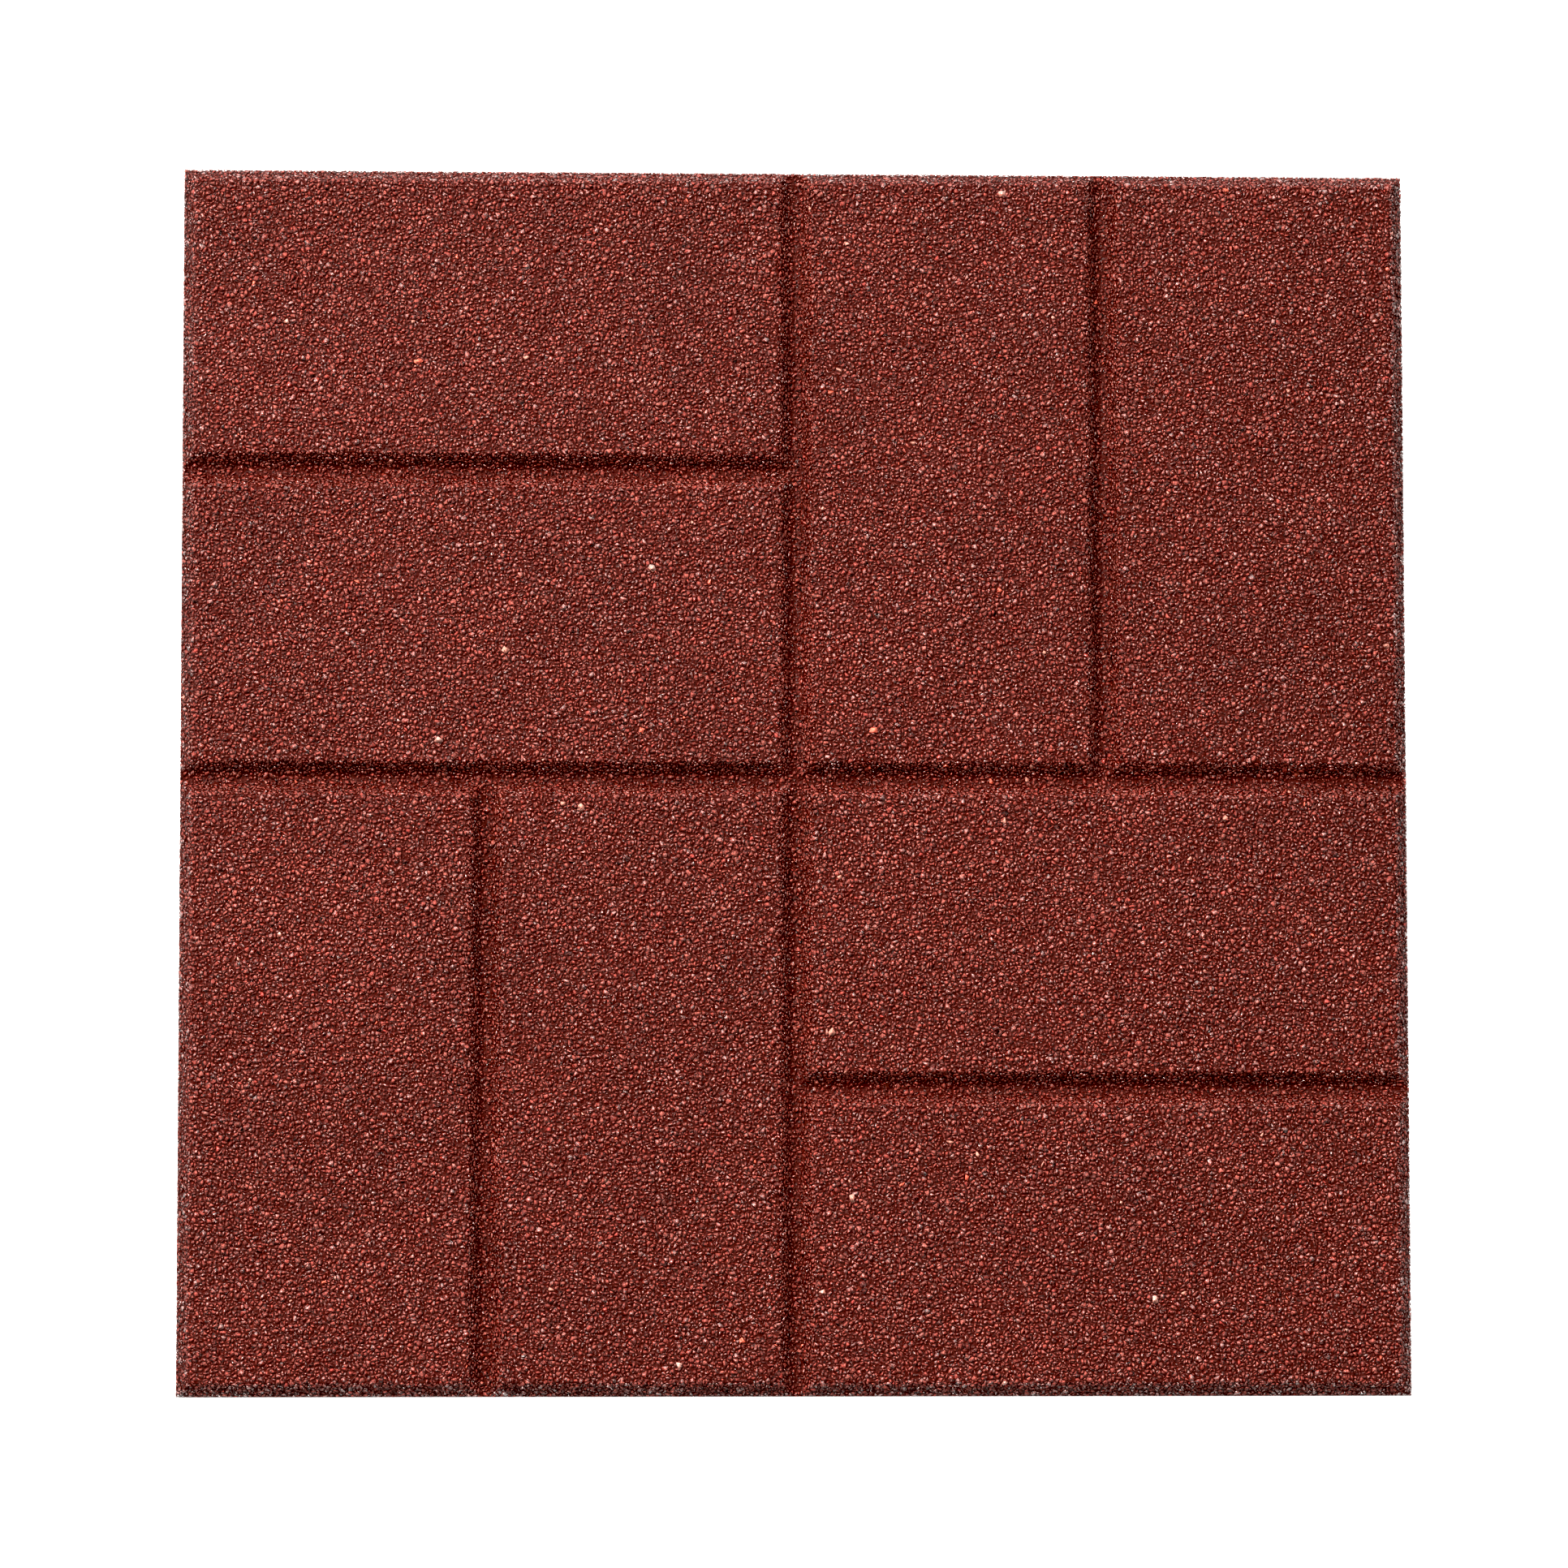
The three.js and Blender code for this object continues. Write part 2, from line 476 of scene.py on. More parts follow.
class Brick:
    """One brick field of the face, with its four sides down to the joints' middles or the underside."""

    def __init__(self, rectangle):
        f = form()
        self.low_x, self.high_x, self.low_y, self.high_y = rectangle
        half = f.side / 2 - f.bevel_run
        self.sides = [BrickSide(abs(abs(edge) - half) < CLOSE) for edge in rectangle]
        self.outs = np.array([(-1, 0), (1, 0), (0, -1), (0, 1)], float)
        self.starts = [(self.low_x, self.low_y), (self.high_x, self.low_y),
                       (self.low_x, self.low_y), (self.low_x, self.high_y)]

    def face_places(self, draw):
        """Crumb places on the flat face.

        Gives points, frames, painted edge shade, whether the brick's faces bound them and whether they are
        at the packed edge, and the ways and reaches of their room.
        """
        left, right, near, far = (side.inset for side in self.sides)
        length = self.high_x - self.low_x - left - right
        width = self.high_y - self.low_y - near - far
        cells = Cells(length, width, draw)
        count = len(cells.a)
        height = np.full(count, form().thickness)
        points = np.stack([self.low_x + left + cells.a, self.low_y + near + cells.b, height], 1)
        frames = np.broadcast_to(np.eye(3), (count, 3, 3))
        yes = np.ones(count, bool)
        return points, frames, np.zeros(count), yes, ~yes, cells.ways.T, cells.reaches.T

    def side_places(self, number, draw):
        """Crumb places on one side, with the same values."""
        f = form()
        side, out = self.sides[number], self.outs[number]
        ends = self.sides[2:] if number < 2 else self.sides[:2]
        along = np.array((0.0, 1.0)) if number < 2 else np.array((1.0, 0.0))
        span = self.high_y - self.low_y if number < 2 else self.high_x - self.low_x
        reach = [end.profile[:, 0].max() for end in ends]
        cells = Cells(span + sum(reach), side.lengths[-1], draw)
        height = side.place_at(cells.b)[1]
        a = cells.a - reach[0]
        cells.keep((a > -ends[0].run_at(height)) & (a < span + ends[1].run_at(height)))
        run, height, slant = side.place_at(cells.b)
        a = cells.a - reach[0]
        flat = np.array(self.starts[number]) + a[:, None] * along + run[:, None] * out
        points = np.concatenate([flat, height[:, None]], 1)
        normals = np.concatenate([slant[:, :1] * out, slant[:, 1:]], 1)
        first = np.broadcast_to((*along, 0.0), normals.shape)
        down = np.concatenate([slant[:, 1:] * out, -slant[:, :1]], 1)
        frames = np.stack([first, down, normals], 2)
        outline = np.full(len(a), side.on_outline)
        # Painted shade: crumbs down the paver's outline darken the lower they lie, to hold back the light
        # that the bevel catches.
        painted_edge_shade = outline * np.clip((f.thickness - height) / EDGE_SHADE_OVER, 0, 1)
        bounded = height > side.foot_height + NEAR
        edge = outline & (height < f.joint_floor + PACKED_ABOVE)
        return points, frames, painted_edge_shade, bounded, edge, cells.ways.T, cells.reaches.T

    def planes(self):
        """The brick's flat faces: its top, its four leaning walls and its arrises."""
        f = form()
        top, deep = f.thickness, f.thickness - f.joint_floor
        found = [Plane((0, 0, top), (0, 0, 1))]
        for side, out, start in zip(self.sides, self.outs, self.starts):
            wall = Plane((*start, top), (*(out * deep), side.run))
            arris = Plane((*start, top), wall.normal + np.array((0, 0, 1.0)))
            arris.offset -= f.arris_radius * (1 / math.cos(side.lean / 2) - 1)
            found += [wall, arris]
        return found


def outline_planes():
    """The mould's flat faces round the whole paver."""
    f = form()
    half, deep = f.side / 2, f.thickness - f.joint_floor
    planes = [Plane((0, 0, 0), (0, 0, -1))]
    for out in ((-1, 0), (1, 0), (0, -1), (0, 1)):
        face = (half * out[0], half * out[1])
        planes.append(Plane((*face, 0), (*out, 0)))
        planes.append(Plane((*face, f.foot_ease), (*out, -1)))
        planes.append(Plane((*face, f.joint_floor), (out[0] * deep, out[1] * deep, f.bevel_run)))
    return planes


def turns(draw, count, tilt):
    """Rotation matrices that lean crumbs out of the face, each its own way."""
    lean = draw.normal(0, tilt, count)
    way = draw.uniform(0, 2 * math.pi, count)
    x, y, zero = np.cos(way), np.sin(way), np.zeros(count)
    cross = np.stack([zero, zero, y, zero, zero, -x, -y, x, zero], 1).reshape(-1, 3, 3)
    sine, rest = np.sin(lean)[:, None, None], (1 - np.cos(lean))[:, None, None]
    return np.eye(3) + sine * cross + rest * (cross @ cross)


def chips(draw, ways, reaches, ring, striking):
    """Cut crumbs of like build: a top of rough corners that fills its cell, and a root below it.

    Each corner is the farthest of a few tries within its sector, so crumbs reach into their cells' corners.
    """
    g = grading()
    count = len(ways)
    start = draw.uniform(0, 2 * math.pi, (count, 1, 1))
    sector = np.arange(ring)[:, None] + np.linspace(-SECTOR_HALF, SECTOR_HALF, TRIES)
    angles = start + sector * 2 * math.pi / ring
    spreads = room(ways.T, reaches.T, angles.reshape(count, -1)).reshape(count, ring, TRIES)
    best = spreads.argmax(2)[..., None]
    angle = np.take_along_axis(angles, best, 2)[..., 0]
    spread = np.take_along_axis(spreads, best, 2)[..., 0]
    spread = np.clip(spread - g.gap / 2, SPREADS[0] * g.pitch, SPREADS[1] * g.pitch)
    size = spread.mean(1)
    corners = np.stack([np.cos(angle) * spread, np.sin(angle) * spread], 2)
    calm = np.where(striking, CALM, 1.0)
    slim = np.where(striking, FULL, np.minimum(draw.uniform(*SLIMNESS, count), 1))
    way = draw.uniform(0, math.pi, count)
    across = np.stack([np.cos(way), np.sin(way)], 1)
    width = (corners @ across[:, :, None])[..., 0]
    corners -= (width * (1 - slim[:, None]))[..., None] * across[:, None, :]
    rough = draw.normal(0, ROUGHNESS, (count, ring, 1)) * (calm * size)[:, None, None]
    root = draw.uniform(-ROOT_STRAY, ROOT_STRAY, (count, 2)) * size[:, None]
    depth = -draw.uniform(*ROOT_DEPTHS, count) * g.flatness * size
    tops = np.concatenate([corners, rough], 2)
    roots = np.concatenate([root, depth[:, None]], 1)
    local = np.concatenate([tops, roots[:, None]], 1)
    return np.einsum("nij,nkj->nki", turns(draw, count, g.tilt * calm), local)


def chip_faces(ring):
    """The triangles of a crumb: its top, and a fan round the root."""
    here = np.arange(ring)
    after = (here + 1) % ring
    upper = np.stack([np.zeros(ring - 2, int), here[1:-1], here[2:]], 1)
    lower = np.stack([after, here, np.full(ring, ring)], 1)
    return np.concatenate([upper, lower])


def chip_map(ring):
    """Where each corner of each triangle lies in a crumb's own block of the bake map, 2 wide and 1 high."""
    angle = np.arange(ring) * 2 * math.pi / ring
    circle = 0.5 + MAP_RADIUS * np.stack([np.cos(angle), np.sin(angle)], 1)
    upper = np.concatenate([circle, [(0.5, 0.5)]])
    lower = upper * [-1, 1] + [2, 0]
    faces = chip_faces(ring)
    return np.concatenate([upper[faces[:ring - 2]], lower[faces[ring - 2:]]])


def place_chips(brick, draw):
    """All places of one brick's crumbs, with the values that Brick gives."""
    found = [brick.face_places(draw)]
    found += [brick.side_places(number, draw) for number in range(4)]
    return [np.concatenate(part) for part in zip(*found)]


def pick_striking(draw, places, sizes):
    """A few big crumbs of the face that stand out, each with its colour."""
    g = grading()
    big = (places[:, 2] > form().thickness - NEAR) & (sizes > np.quantile(sizes, BIG))
    chosen = draw.choice(np.flatnonzero(big), draw.poisson(g.striking), replace=False)
    colour = np.where(draw.uniform(0, 1, len(chosen)) < g.striking_orange, ALL_ORANGE, ALL_BLUSH)
    return list(zip(chosen, colour))


def map_spots(ring, numbers, count):
    """Bake map places of the crumbs with these numbers, where a brick has so many crumbs."""
    columns = math.ceil(math.sqrt(count / 2))
    rows = math.ceil(count / columns)
    block = np.stack([numbers % columns * 2, numbers // columns], 1)
    spots = (chip_map(ring)[None] + block[:, None, None, :]) / [2 * columns, rows]
    return spots.reshape(-1, 2)


def lay_crumbs(brick, draw):
    """One brick's crumbs, pressed against the mould: points, triangles, map places and values."""
    g = grading()
    places, frames, painted_edge_shade, bounded, edge, ways, reaches = place_chips(brick, draw)
    count = len(places)
    sizes = np.sort(reaches, 1)[:, :NEAREST].mean(1)
    heights = draw.uniform(0, 1, count)
    own = draw.uniform(0, 1, (count, 3))
    striking = np.zeros(count, bool)
    for crumb, colour in pick_striking(draw, places, sizes):
        own[crumb, 1], heights[crumb], striking[crumb] = colour, 0, True
        reaches[crumb] = np.maximum(reaches[crumb] * g.striking_spread, sizes[crumb])
        sizes[crumb] = 2 * g.pitch
    rings = FEWEST_CORNERS + np.searchsorted(RING_SHARES, np.argsort(np.argsort(sizes)) / count)
    inner, outer = brick.planes(), outline_planes()
    points, triangles, spots, values = [], [], [], []
    start, chip = 0, 0
    for ring in range(FEWEST_CORNERS, FEWEST_CORNERS + len(RING_SHARES) + 1):
        mine = np.flatnonzero(rings == ring)
        amount = len(mine)
        local = chips(draw, ways[mine], reaches[mine], ring, striking[mine])
        top = heights[mine]
        top = np.where(edge[mine], top * g.edge_press, g.press - top * g.sink)
        local[..., 2] += (top - local[..., 2].max(1))[:, None]
        local[..., 2] = np.minimum(local[..., 2], 0)
        world = np.einsum("nij,nkj->nki", frames[mine], local) + places[mine][:, None, :]
        for plane in outer:
            plane.press(world, np.arange(amount))
        for plane in inner:
            plane.press(world, np.flatnonzero(bounded[mine]))
        corners = ring + 1
        firsts = start + np.arange(amount) * corners
        triangles.append((chip_faces(ring)[None] + firsts[:, None, None]).reshape(-1, 3))
        spots.append(map_spots(ring, chip + np.arange(amount), count))
        sunk = np.maximum(-local[..., 2], 0).reshape(-1, 1) / MM
        painted_edge_shade_corners = np.repeat(painted_edge_shade[mine], corners)[:, None]
        values.append(np.concatenate([np.repeat(own[mine], corners, 0), sunk, painted_edge_shade_corners], 1))
        points.append(world.reshape(-1, 3))
        start += amount * corners
        chip += amount
    return tuple(np.concatenate(part) for part in (points, triangles, spots, values))


def make_mesh(name, points, triangles):
    """A mesh of flat triangles."""
    mesh = bpy.data.meshes.new(name)
    mesh.vertices.add(len(points))
    mesh.vertices.foreach_set("co", points.astype(np.float32).ravel())
    mesh.loops.add(3 * len(triangles))
    mesh.loops.foreach_set("vertex_index", triangles.astype(np.int32).ravel())
    mesh.polygons.add(len(triangles))
    mesh.polygons.foreach_set("loop_start", np.arange(len(triangles), dtype=np.int32) * 3)
    mesh.update(calc_edges=True)
    return mesh


def give_values(mesh, spots, values):
    """Each crumb's place in the bake map, its own random values, how deep it lies, and its painted edge
    shade.
    """
    mesh.uv_layers.new(name="OFBake").data.foreach_set("uv", spots.astype(np.float32).ravel())
    crumb = mesh.attributes.new("crumb", "FLOAT_VECTOR", "POINT")
    crumb.data.foreach_set("vector", values[:, :3].astype(np.float32).ravel())
    for name, column in (("sunk", 3), ("painted_edge_shade", 4)):
        layer = mesh.attributes.new(name, "FLOAT", "POINT")
        layer.data.foreach_set("value", values[:, column].astype(np.float32))


def new_group(name, inputs, outputs):
    """A shader node group with named sockets: (name, type, default) for each input."""
    group = bpy.data.node_groups.new(name, "ShaderNodeTree")
    for label, kind, default in inputs:
        socket = group.interface.new_socket(label, in_out="INPUT", socket_type=kind)
        if default is not None:
            socket.default_value = default
    for label, kind in outputs:
        group.interface.new_socket(label, in_out="OUTPUT", socket_type=kind)
    nodes = group.nodes
    return group, nodes.new("NodeGroupInput"), nodes.new("NodeGroupOutput")


def add_node(tree, kind, links=(), **settings):
    """A node with its settings, and links given as (input name or number, socket or value)."""
    node = tree.nodes.new(kind)
    for name, value in settings.items():
        setattr(node, name, value)
    for target, source in links:
        socket = node.inputs[target]
        if isinstance(source, bpy.types.NodeSocket):
            tree.links.new(source, socket)
        else:
            socket.default_value = source
    return node


def mix_colour(tree, factor, first, second, blend="MIX"):
    """Mixes two colours by a factor, and gives the result's socket."""
    node = add_node(tree, "ShaderNodeMix", data_type="RGBA", blend_type=blend)
    for place, source in ((0, factor), (6, first), (7, second)):
        socket = node.inputs[place]
        if isinstance(source, bpy.types.NodeSocket):
            tree.links.new(source, socket)
        else:
            socket.default_value = (*source, 1.0) if place else source
    return node.outputs[2]


def ranged(tree, value, low, high, to_low=0.0, to_high=1.0):
    """Maps a value from one range to another, and gives the result's socket."""
    return add_node(tree, "ShaderNodeMapRange",
                    [(0, value), (1, low), (2, high), (3, to_low), (4, to_high)]).outputs[0]


def combined(tree, operation, first, second):
    """A sum, product or comparison of two values, and gives the result's socket."""
    return add_node(tree, "ShaderNodeMath", [(0, first), (1, second)], operation=operation).outputs[0]


def fine_crumb_group():
    """Fine crumbs, drawn by cells: each leans and has its own tone, with cracks between them that are
    painted dark as shade.
    """
    name = "Fine Crumbs"
    if name in bpy.data.node_groups:
        return bpy.data.node_groups[name]
    group, come, go = new_group(
        name,
        [("Cell Scale", "NodeSocketFloat", 1120.0), ("Slope", "NodeSocketFloat", 1.1),
         ("Crack Width", "NodeSocketFloat", 0.12), ("Contrast", "NodeSocketFloat", 0.27)],
        [("Height", "NodeSocketFloat"), ("Crack", "NodeSocketFloat"), ("Shade", "NodeSocketFloat")])
    place = add_node(group, "ShaderNodeTexCoord").outputs["Object"]
    where = [("Vector", place), ("Scale", come.outputs["Cell Scale"])]
    cells = add_node(group, "ShaderNodeTexVoronoi", where)
    border = add_node(group, "ShaderNodeTexVoronoi", where, feature="DISTANCE_TO_EDGE").outputs["Distance"]
    offset = add_node(group, "ShaderNodeVectorMath", [(0, place), (1, cells.outputs["Position"])],
                      operation="SUBTRACT")
    lean = add_node(group, "ShaderNodeVectorMath", [(0, cells.outputs["Color"]), (1, (0.5, 0.5, 0.5))],
                    operation="SUBTRACT")
    rise = add_node(group, "ShaderNodeVectorMath", [(0, offset.outputs[0]), (1, lean.outputs[0])],
                    operation="DOT_PRODUCT").outputs["Value"]
    group.links.new(combined(group, "MULTIPLY", rise, come.outputs["Slope"]), go.inputs["Height"])
    group.links.new(ranged(group, border, 0.0, come.outputs["Crack Width"], 1.0, 0.0), go.inputs["Crack"])
    shade = add_node(group, "ShaderNodeSeparateXYZ", [(0, cells.outputs["Color"])]).outputs[1]
    low = combined(group, "SUBTRACT", 1.0, come.outputs["Contrast"])
    high = combined(group, "ADD", 1.0, come.outputs["Contrast"])
    group.links.new(ranged(group, shade, 0.0, 1.0, low, high), go.inputs["Shade"])
    return group


def pigment_and_shade_group():
    """Colour of the crumbs: each its own tone, a few bright or unpigmented, with painted shade where they
    lie deep, in the cracks between fine crumbs and down the paver's outline.
    """
    name = "Crumb Pigment"
    if name in bpy.data.node_groups:
        return bpy.data.node_groups[name]
    c = colours()
    group, come, go = new_group(
        name,
        [("Crumb", "NodeSocketVector", None), ("Depth", "NodeSocketFloat", 0.0),
         ("Edge", "NodeSocketFloat", 0.0), ("Orange Share", "NodeSocketFloat", 0.0008),
         ("Vivid Share", "NodeSocketFloat", 0.008), ("Blush Share", "NodeSocketFloat", 0.002),
         ("Crevice Shade", "NodeSocketFloat", 0.92), ("Edge Shade", "NodeSocketFloat", 0.2),
         ("Fine Shade", "NodeSocketFloat", 1.0), ("Crack", "NodeSocketFloat", 0.0),
         ("Crack Shade", "NodeSocketFloat", 0.85)],
        [("Color", "NodeSocketColor")])
    split = add_node(group, "ShaderNodeSeparateXYZ", [(0, come.outputs["Crumb"])])
    tone, odd = split.outputs[0], split.outputs[1]
    colour = mix_colour(group, ranged(group, tone, 0.0, 0.5), c.deep, c.red)
    colour = mix_colour(group, ranged(group, tone, 0.5, 1.0), colour, c.pale)
    place = add_node(group, "ShaderNodeTexCoord").outputs["Object"]
    blotch = add_node(group, "ShaderNodeTexNoise", [("Vector", place), ("Scale", 28.0), ("Detail", 3.0),
                                                    ("Roughness", 0.6)]).outputs[0]
    colour = mix_colour(group, 1.0, colour, ranged(group, blotch, 0.3, 0.7, 0.86, 1.14), "MULTIPLY")
    fleck = add_node(group, "ShaderNodeTexNoise",
                     [("Vector", place), ("Scale", 1500.0), ("Detail", 2.0)]).outputs[0]
    colour = mix_colour(group, 1.0, colour, ranged(group, fleck, 0.3, 0.7, 0.75, 1.25), "MULTIPLY")
    colour = mix_colour(group, 1.0, colour, come.outputs["Fine Shade"], "MULTIPLY")
    # Painted shade: the cracks between fine crumbs are mixed towards the binder colour, standing in for the
    # shade between them.
    painted_crack_shade = combined(group, "MULTIPLY", come.outputs["Crack"], come.outputs["Crack Shade"])
    colour = mix_colour(group, painted_crack_shade, colour, c.binder)
    for share, rare in (("Vivid Share", c.vivid), ("Orange Share", c.orange)):
        rest = combined(group, "SUBTRACT", 1.0, come.outputs[share])
        colour = mix_colour(group, combined(group, "GREATER_THAN", odd, rest), colour, rare)
    unpigmented = combined(group, "LESS_THAN", odd, come.outputs["Blush Share"])
    colour = mix_colour(group, unpigmented, colour, c.blush)
    # Painted shade: the deeper a crumb's corner lies below the face, the more it turns to the binder colour,
    # standing in for the shade in the crevices.
    sunk = ranged(group, come.outputs["Depth"], 0.3, 0.9)
    colour = mix_colour(group, combined(group, "MULTIPLY", sunk, come.outputs["Crevice Shade"]), colour, c.binder)
    # Painted shade down the paver's outline: crumbs there are darkened by up to the edge shade.
    shade = combined(group, "MULTIPLY", come.outputs["Edge"], come.outputs["Edge Shade"])
    colour = mix_colour(group, 1.0, colour, combined(group, "SUBTRACT", 1.0, shade), "MULTIPLY")
    group.links.new(colour, go.inputs["Color"])
    return group


def skin_group():
    """The torn skin of cut rubber: a fine height, how rough it is, and where a clear binder film lies."""
    name = "Torn Rubber Skin"
    if name in bpy.data.node_groups:
        return bpy.data.node_groups[name]
    group, come, go = new_group(
        name,
        [("Crumb", "NodeSocketVector", None), ("Depth", "NodeSocketFloat", 0.0),
         ("Grain Scale", "NodeSocketFloat", 2600.0),
         ("Dull", "NodeSocketFloat", 0.7), ("Glossy", "NodeSocketFloat", 0.2)],
        [("Height", "NodeSocketFloat"), ("Roughness", "NodeSocketFloat"), ("Film", "NodeSocketFloat")])
    place = add_node(group, "ShaderNodeTexCoord").outputs["Object"]
    noise = add_node(group, "ShaderNodeTexNoise", [("Vector", place), ("Scale", come.outputs["Grain Scale"]),
                                                   ("Detail", 3.0)])
    split = add_node(group, "ShaderNodeSeparateXYZ", [(0, come.outputs["Crumb"])])
    gloss = ranged(group, split.outputs[2], 0.2, 0.8, come.outputs["Dull"], come.outputs["Glossy"])
    gloss = ranged(group, come.outputs["Depth"], 0.3, 0.8, gloss, 0.9)
    bare = ranged(group, come.outputs["Depth"], 0.2, 0.6, 1.0, 0.0)
    film = combined(group, "MULTIPLY", bare, ranged(group, split.outputs[2], 0.55, 0.8))
    group.links.new(film, go.inputs["Film"])
    group.links.new(noise.outputs[0], go.inputs["Height"])
    group.links.new(gloss, go.inputs["Roughness"])
    return group


def crumb_material():
    """Crumb rubber, coloured and roughened crumb by crumb."""
    name = "red_crumb"
    if name in bpy.data.materials:
        return bpy.data.materials[name]
    material = bpy.data.materials.new(name)
    material.use_nodes = True
    tree = material.node_tree
    shader = tree.nodes["Principled BSDF"]
    crumb = add_node(tree, "ShaderNodeAttribute", attribute_name="crumb")
    sunk = add_node(tree, "ShaderNodeAttribute", attribute_name="sunk")
    painted_edge_shade = add_node(tree, "ShaderNodeAttribute", attribute_name="painted_edge_shade")
    pigment = add_node(tree, "ShaderNodeGroup", node_tree=pigment_and_shade_group())
    tree.links.new(crumb.outputs["Vector"], pigment.inputs["Crumb"])
    tree.links.new(sunk.outputs["Fac"], pigment.inputs["Depth"])
    tree.links.new(painted_edge_shade.outputs["Fac"], pigment.inputs["Edge"])
    fine = add_node(tree, "ShaderNodeGroup", node_tree=fine_crumb_group())
    tree.links.new(fine.outputs["Shade"], pigment.inputs["Fine Shade"])
    tree.links.new(fine.outputs["Crack"], pigment.inputs["Crack"])
    skin = add_node(tree, "ShaderNodeGroup", node_tree=skin_group())
    tree.links.new(crumb.outputs["Vector"], skin.inputs["Crumb"])
    tree.links.new(sunk.outputs["Fac"], skin.inputs["Depth"])
    leaning = add_node(tree, "ShaderNodeBump", [("Height", fine.outputs["Height"]), ("Strength", 1.0),
                                                ("Distance", 1.0)])
    bump = add_node(tree, "ShaderNodeBump", [("Height", skin.outputs["Height"]), ("Strength", 0.2),
                                             ("Distance", 0.08 * MM), ("Normal", leaning.outputs["Normal"])])
    shader.inputs["Specular IOR Level"].default_value = 0.35
    shader.inputs["Coat Roughness"].default_value = 0.16
    shader.inputs["Coat IOR"].default_value = 1.9
    tree.links.new(pigment.outputs["Color"], shader.inputs["Base Color"])
    tree.links.new(skin.outputs["Roughness"], shader.inputs["Roughness"])
    tree.links.new(skin.outputs["Film"], shader.inputs["Coat Weight"])
    tree.links.new(bump.outputs["Normal"], shader.inputs["Normal"])
    return material


def bed_material(name, cell_scale, depth, relief, sheen):
    """Pressed crumb drawn by cells: the bed between the crumbs, and the underside."""
    material = bpy.data.materials.new(name)
    material.use_nodes = True
    tree = material.node_tree
    shader = tree.nodes["Principled BSDF"]
    place = add_node(tree, "ShaderNodeTexCoord")
    cells = add_node(tree, "ShaderNodeTexVoronoi",
                     [("Vector", place.outputs["Object"]), ("Scale", cell_scale)])
    pigment = add_node(tree, "ShaderNodeGroup", node_tree=pigment_and_shade_group())
    tree.links.new(cells.outputs["Color"], pigment.inputs["Crumb"])
    # The depth sets the painted crevice shade: the bed, deep below the crumbs, comes out nearly in the
    # binder colour.
    pigment.inputs["Depth"].default_value = depth
    shader.inputs["Specular IOR Level"].default_value = sheen
    skin = add_node(tree, "ShaderNodeGroup", node_tree=skin_group())
    tree.links.new(cells.outputs["Color"], skin.inputs["Crumb"])
    bump = add_node(tree, "ShaderNodeBump", [("Height", cells.outputs["Distance"]), ("Strength", 0.8),
                                             ("Distance", relief)], invert=True)
    tree.links.new(pigment.outputs["Color"], shader.inputs["Base Color"])
    tree.links.new(skin.outputs["Roughness"], shader.inputs["Roughness"])
    tree.links.new(bump.outputs["Normal"], shader.inputs["Normal"])
    return material


def drawn_in(body):
    """Moves every face of the body inward by the bed's depth, but for its underside."""
    g = grading()
    shifts = []
    for vert in body.verts:
        normals = []
        for face in vert.link_faces:
            if all(face.normal.dot(known) < ALIKE for known in normals):
                normals.append(face.normal.copy())
        wanted = []
        for normal in normals:
            if normal.z < DOWNWARD:
                wanted.append(0.0)
            elif abs(normal.z) < UPRIGHT:
                wanted.append(-g.edge_bed_depth)
            else:
                wanted.append(-g.bed_depth)
        shift = np.linalg.lstsq(np.array([tuple(n) for n in normals]), np.array(wanted), rcond=0.05)[0]
        shifts.append(Vector(shift))
    for vert, shift in zip(body.verts, shifts):
        vert.co += shift


def bed_mesh():
    """The bed under the crumbs: the pressed form, drawn in by the bed's depth."""
    body = bmesh.new()
    body.from_mesh(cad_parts[PAVER].data)
    bmesh.ops.remove_doubles(body, verts=body.verts, dist=NEAR)
    body.normal_update()
    drawn_in(body)
    body.normal_update()
    for face in body.faces:
        face.material_index = 1 if face.normal.z < DOWNWARD else 0
    mesh = bpy.data.meshes.new("binder_bed")
    body.to_mesh(mesh)
    body.free()
    return mesh


class PAVER_OT_binder_bed(bpy.types.Operator):
    """Makes the bed of binder and fine crumb that shows between the crumbs, painted dark as the shade in the
    gaps, with the flat underside
    """

    bl_idname = "paver.binder_bed"
    bl_label = "Binder Bed"

    def execute(self, context):
        mesh = bed_mesh()
        # The bed's depth of 0.95 gives it painted shade nearly to the binder colour; the underside's 0.3
        # gives it none.
        bed = bed_material("binder_bed", cell_scale=900.0, depth=0.95, relief=0.4 * MM, sheen=0.05)
        under = bed_material("pressed_underside", cell_scale=620.0, depth=0.3, relief=0.25 * MM, sheen=0.4)
        mesh.materials.append(bed)
        mesh.materials.append(under)
        piece = bpy.data.objects.new("binder_bed", mesh)
        context.scene.collection.objects.link(piece)
        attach(piece, BODY)
        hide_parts(PAVER)
        return {"FINISHED"}


class PAVER_OT_brick_crumbs(bpy.types.Operator):
    """Lays the crumbs of the eight brick fields, their joints and the paver's edge"""

    bl_idname = "paver.brick_crumbs"
    bl_label = "Brick Crumbs"

    def execute(self, context):
        for number, rectangle in enumerate(brick_rectangles(), 1):
            draw = np.random.default_rng(grading().seed + number)
            points, triangles, spots, values = lay_crumbs(Brick(rectangle), draw)
            name = f"brick_crumbs_{number}"
            mesh = make_mesh(name, points, triangles)
            give_values(mesh, spots, values)
            mesh.materials.append(crumb_material())
            piece = bpy.data.objects.new(name, mesh)
            context.scene.collection.objects.link(piece)
            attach(piece, BODY)
        return {"FINISHED"}


